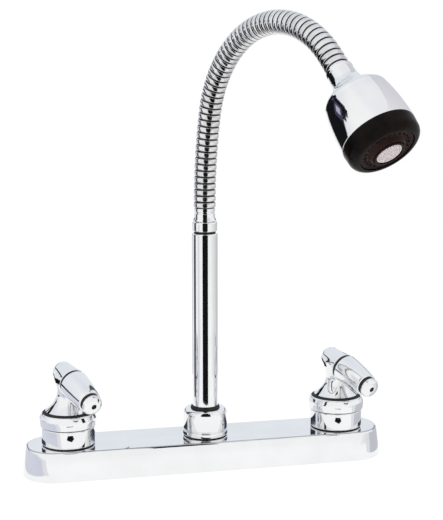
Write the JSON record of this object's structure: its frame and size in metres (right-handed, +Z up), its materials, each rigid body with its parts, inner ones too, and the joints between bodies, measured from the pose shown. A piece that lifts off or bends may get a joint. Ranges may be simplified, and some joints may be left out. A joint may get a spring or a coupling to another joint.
{
  "type": "two handle kitchen faucet",
  "caption": "Deck mounted kitchen faucet with a long plate, lever handles, an upright tube and a ribbed gooseneck hose that ends in a spray head.",
  "frame": {"origin": "on the spout axis, at the underside of the deck plate and its gasket, which is the deck's surface", "axes": "+Z up along the spout's riser, -Y towards the user, +X along the plate to the cold side"},
  "size_m": [0.27, 0.2163, 0.3817],
  "materials": {
    "chrome": "polished chrome plate",
    "brass": "machined",
    "ceramic": "lapped",
    "rubber": "matte",
    "black_plastic": "gloss",
    "grey_plastic": "satin",
    "white_plastic": "satin",
    "steel": "brushed"
  },
  "bodies": {
    "deck": {"deck_plate": "chrome", "deck_gasket": "rubber", "center_body": "brass", "spout_nut": "chrome", "spout_bushing": "white_plastic", "hot_valve_body": "brass", "hot_crossover": "brass", "hot_deck_washer": "steel", "hot_wing_nut": "white_plastic", "hot_cartridge": "brass", "hot_seat": "rubber", "hot_fixed_disc": "ceramic", "hot_skirt": "chrome", "cold_valve_body": "brass", "cold_crossover": "brass", "cold_deck_washer": "steel", "cold_wing_nut": "white_plastic", "cold_cartridge": "brass", "cold_seat": "rubber", "cold_fixed_disc": "ceramic", "cold_skirt": "chrome"},
    "hot_handle": {"hot_handle_hub": "chrome", "hot_grip_barrel": "chrome", "hot_end_cap": "chrome", "hot_set_screw": "steel", "hot_stem": "brass", "hot_stem_ring": "rubber", "hot_moving_disc": "ceramic"},
    "cold_handle": {"cold_handle_hub": "chrome", "cold_grip_barrel": "chrome", "cold_end_cap": "chrome", "cold_set_screw": "steel", "cold_stem": "brass", "cold_stem_ring": "rubber", "cold_moving_disc": "ceramic"},
    "spout": {"riser_tube": "chrome", "riser_ring_lower": "rubber", "riser_ring_upper": "rubber", "riser_collar": "chrome", "hose_ferrule": "chrome", "flex_hose": "chrome", "water_tube": "white_plastic"},
    "neck": {"neck_nipple": "chrome", "neck_ring": "rubber"},
    "head": {"head_shell": "chrome", "head_core": "white_plastic", "neck_clip": "white_plastic"},
    "selector": {"selector_ring": "black_plastic", "face_plate": "black_plastic", "nozzle_pad": "grey_plastic", "aerator": "grey_plastic", "aerator_screen": "steel"}
  },
  "joints": [
    {"name": "hot_turn", "type": "hinge", "parent": "deck", "child": "hot_handle", "pos_m": [-0.1016, 0, 0.036], "axis": [0, 0, 1], "range_deg": [0, 90]},
    {"name": "cold_turn", "type": "hinge", "parent": "deck", "child": "cold_handle", "pos_m": [0.1016, 0, 0.036], "axis": [0, 0, 1], "range_deg": [0, 90]},
    {"name": "spout_swivel", "type": "hinge", "parent": "deck", "child": "spout", "pos_m": [0, 0, 0.03], "axis": [0, 0, 1], "continuous": true},
    {"name": "neck_flex", "type": "hinge", "parent": "spout", "child": "neck", "pos_m": [0.01758, -0.04142, 0.28], "axis": [0.9205, 0.3907, 0], "range_deg": [-25, 25], "deforming": ["flex_hose", "water_tube"]},
    {"name": "head_swivel", "type": "hinge", "parent": "neck", "child": "head", "pos_m": [0.05578, -0.13142, 0.29136], "axis": [0.2699, -0.636, -0.723], "continuous": true},
    {"name": "selector_turn", "type": "hinge", "parent": "head", "child": "selector", "pos_m": [0.05578, -0.13142, 0.29136], "axis": [0.2699, -0.636, -0.723], "range_deg": [0, 90]}
  ]
}
